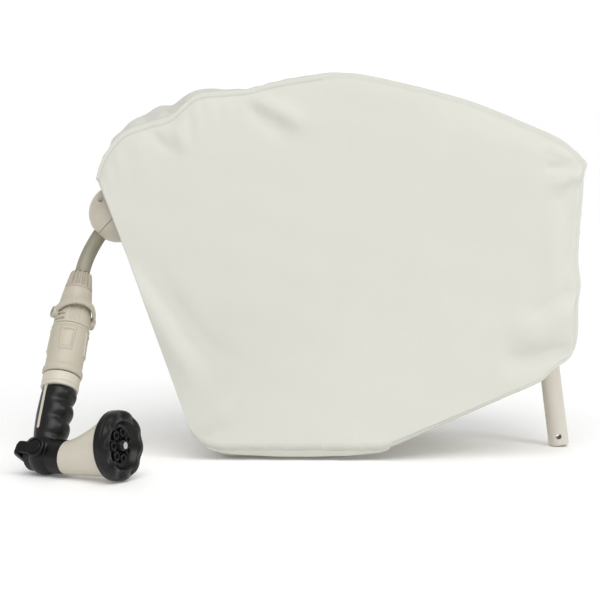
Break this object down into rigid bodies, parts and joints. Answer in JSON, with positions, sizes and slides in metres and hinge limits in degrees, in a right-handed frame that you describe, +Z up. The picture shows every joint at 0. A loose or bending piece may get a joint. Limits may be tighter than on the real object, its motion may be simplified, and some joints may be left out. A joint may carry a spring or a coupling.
{
  "type": "garden hose reel",
  "caption": "Covered retractable garden hose reel on a swivel post, with its hose stop ball, quick connector and multi-pattern spray gun.",
  "frame": {"origin": "bottom centre of the standing reel's box, without the hose end; the floor is Z = 0", "axes": "+X from the hose outlet towards the swivel post, +Y across the drum away from the side seen first, +Z up"},
  "size_m": [0.5849, 0.3597, 0.4014],
  "materials": {
    "cover_cloth": "fine woven, matt",
    "case_plastic": "fine grain",
    "frame_plastic": "satin",
    "inner_plastic": "satin",
    "bearing_plastic": "smooth",
    "post_paint": "satin paint",
    "steel": "plain",
    "spring_steel": "oiled",
    "hose_rubber": "matt",
    "belt_rubber": "matt",
    "seal_rubber": "matt",
    "ball_plastic": "smooth",
    "nut_plastic": "satin",
    "sleeve_plastic": "satin",
    "valve_plastic": "smooth",
    "grip_rubber": "satin",
    "gun_black": "satin",
    "gun_cream": "satin",
    "dial_plastic": "satin",
    "bright_screw": "polished"
  },
  "bodies": {
    "case": {"case_near_half": "case_plastic", "case_far_half": "case_plastic", "case_screws": "steel", "post_bush_lower": "bearing_plastic", "post_bush_upper": "bearing_plastic", "drum_axle": "steel", "inlet_union": "frame_plastic", "union_seal": "seal_rubber", "spring_arbor": "inner_plastic", "main_spring": "spring_steel", "outlet_frame": "frame_plastic", "guide_rod": "steel", "drive_belt": "belt_rubber", "pawl_pin": "steel"},
    "cover": {"cover": "cover_cloth"},
    "post": {"swivel_post": "post_paint", "post_stop_ring": "bearing_plastic", "post_top_plug": "inner_plastic"},
    "drum": {"drum_core": "inner_plastic", "drum_flange_near": "inner_plastic", "drum_flange_far": "inner_plastic", "flange_screws": "steel", "drum_bushes": "bearing_plastic", "wound_hose": "hose_rubber", "ratchet_ring": "inner_plastic", "drum_pulley": "inner_plastic", "water_elbow": "inner_plastic"},
    "guide_screw": {"guide_screw": "steel", "screw_pulley": "inner_plastic"},
    "carriage": {"guide_carriage": "frame_plastic", "carriage_nut": "bearing_plastic", "roller_pins": "steel", "lead_hose": "hose_rubber", "ball_upper_half": "ball_plastic", "ball_lower_half": "ball_plastic", "ball_screws": "steel", "free_hose": "hose_rubber", "hose_nut": "nut_plastic", "connector_body": "nut_plastic", "connector_sleeve": "sleeve_plastic", "connector_seal": "seal_rubber"},
    "upper_roller": {"upper_roller": "bearing_plastic"},
    "lower_roller": {"lower_roller": "bearing_plastic"},
    "pawl": {"ratchet_pawl": "steel"},
    "bail": {"bail_lever": "nut_plastic", "bail_screws": "steel", "shut_off_ball": "valve_plastic"},
    "gun": {"gun_collar": "gun_cream", "gun_barrel": "gun_black", "hand_grip": "grip_rubber", "grip_strip": "gun_cream", "nozzle_bell": "gun_cream", "dial_screw": "bright_screw", "lever_pins": "steel"},
    "dial": {"spray_dial": "dial_plastic"},
    "thumb_lever": {"thumb_lever": "gun_black"},
    "valve": {"valve_stem": "steel"}
  },
  "joints": [
    {"name": "cover_lift", "type": "slide", "parent": "case", "child": "cover", "axis": [-0.1305, 0, 0.9914], "range_m": [0, 0.45]},
    {"name": "post_swivel", "type": "hinge", "parent": "case", "child": "post", "pos_m": [0.23756, 0, 0.00129], "axis": [-0.1305, 0, 0.9914], "range_deg": [-90, 90]},
    {"name": "drum_spin", "type": "hinge", "parent": "case", "child": "drum", "pos_m": [0.01585, 0, 0.19373], "axis": [0, -1, 0], "range_deg": [0, 2587]},
    {"name": "guide_screw_spin", "type": "hinge", "parent": "case", "child": "guide_screw", "pos_m": [-0.18462, 0, 0.25464], "axis": [0, -1, 0], "range_deg": [0, 5175]},
    {"name": "carriage_slide", "type": "slide", "parent": "case", "child": "carriage", "axis": [0, 1, 0], "range_m": [0, 0.115]},
    {"name": "upper_roller_spin", "type": "hinge", "parent": "carriage", "child": "upper_roller", "pos_m": [-0.2058, -0.0575, 0.30328], "axis": [0, 1, 0], "continuous": true},
    {"name": "lower_roller_spin", "type": "hinge", "parent": "carriage", "child": "lower_roller", "pos_m": [-0.19007, -0.0575, 0.27739], "axis": [0, 1, 0], "continuous": true},
    {"name": "pawl_swing", "type": "hinge", "parent": "case", "child": "pawl", "pos_m": [0.11385, -0.07275, 0.15418], "axis": [0, 1, 0], "range_deg": [-25, 25], "stiffness_Nm_per_rad": 0.02},
    {"name": "bail_swing", "type": "hinge", "parent": "carriage", "child": "bail", "pos_m": [-0.27854, -0.10264, 0.14956], "axis": [-0.8761, -0.3383, 0.3436], "range_deg": [-45, 0]},
    {"name": "gun_twist", "type": "hinge", "parent": "carriage", "child": "gun", "pos_m": [-0.28693, -0.13836, 0.09302], "axis": [0.1244, 0.5298, 0.8389], "range_deg": [-90, 0]},
    {"name": "dial_turn", "type": "hinge", "parent": "gun", "child": "dial", "pos_m": [-0.22209, -0.22216, 0.03574], "axis": [0.8637, -0.496, 0.0892], "continuous": true},
    {"name": "thumb_lever_swing", "type": "hinge", "parent": "gun", "child": "thumb_lever", "pos_m": [-0.29776, -0.18445, 0.02004], "axis": [0.4649, 0.7158, -0.5211], "range_deg": [0, 15]},
    {"name": "valve_stroke", "type": "slide", "parent": "gun", "child": "valve", "axis": [0.8387, -0.5446, 0], "range_m": [0, 0.004]}
  ],
  "couplings": [
    {"joint": "guide_screw_spin", "follows": "drum_spin", "ratio": 2},
    {"joint": "carriage_slide", "follows": "drum_spin", "m_per_rad": 0.002546},
    {"joint": "valve_stroke", "follows": "thumb_lever_swing", "m_per_rad": 0.01527}
  ]
}
